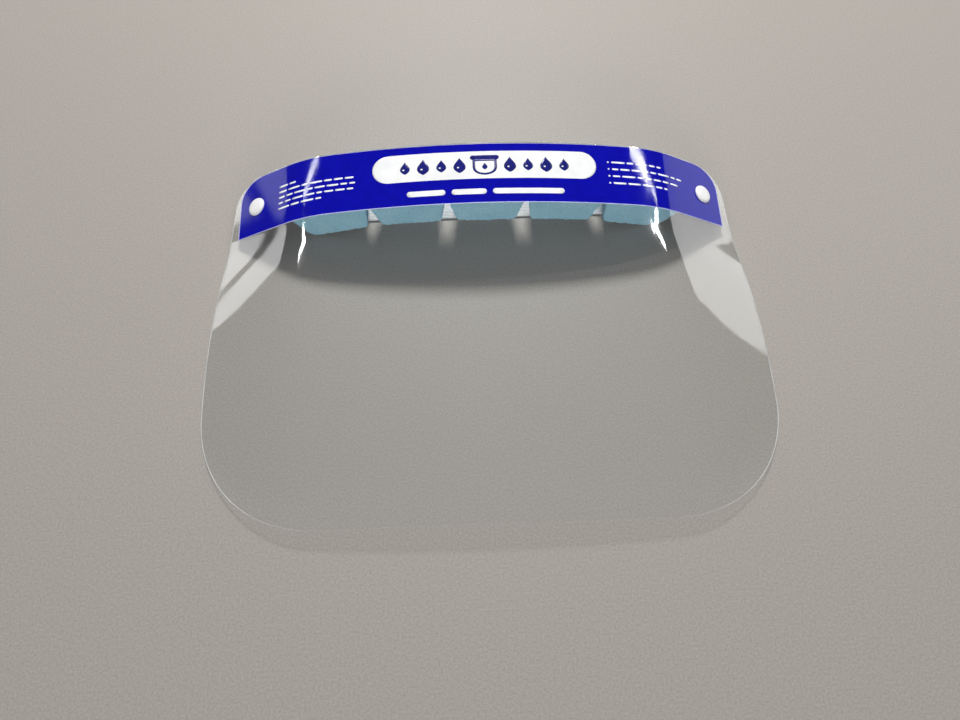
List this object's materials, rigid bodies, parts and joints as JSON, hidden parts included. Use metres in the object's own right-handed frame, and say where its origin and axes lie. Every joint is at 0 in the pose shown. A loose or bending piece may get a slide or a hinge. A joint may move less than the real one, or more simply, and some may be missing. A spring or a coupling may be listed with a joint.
{
  "type": "face shield",
  "caption": "Disposable splash face shield: clear bent visor with a printed top band, notched foam forehead pad and a ribbed elastic head strap held by snap rivets.",
  "frame": {"origin": "on the table, under the middle of the shield's bounding box, with the shield lying inner side down", "axes": "+X across the shield to the wearer's left, +Y up the film from its bottom edge to its printed band, +Z out of the front of the shield, away from the table"},
  "size_m": [0.3108, 0.221, 0.0443],
  "materials": {
    "clear_film": "clear 0.3 mm PET sheet",
    "printed_band": "glossy royal blue printed film",
    "foam": "light blue open-cell polyurethane foam",
    "tape": "thin double-sided foam tape",
    "elastic": "white ribbed knitted elastic",
    "snap": "white moulded plastic"
  },
  "bodies": {
    "visor": {"visor_film": "clear_film", "header_label": "printed_band", "foam_tape": "tape", "forehead_foam": "foam", "snap_head_left": "snap", "snap_socket_left": "snap", "snap_head_right": "snap", "snap_socket_right": "snap"},
    "strap": {"head_strap": "elastic"}
  },
  "joints": [
    {"name": "strap_stretch", "type": "slide", "parent": "visor", "child": "strap", "axis": [0, 1, 0], "range_m": [0, 0.12], "stiffness_N_per_m": 40, "deforming": ["head_strap"]}
  ]
}
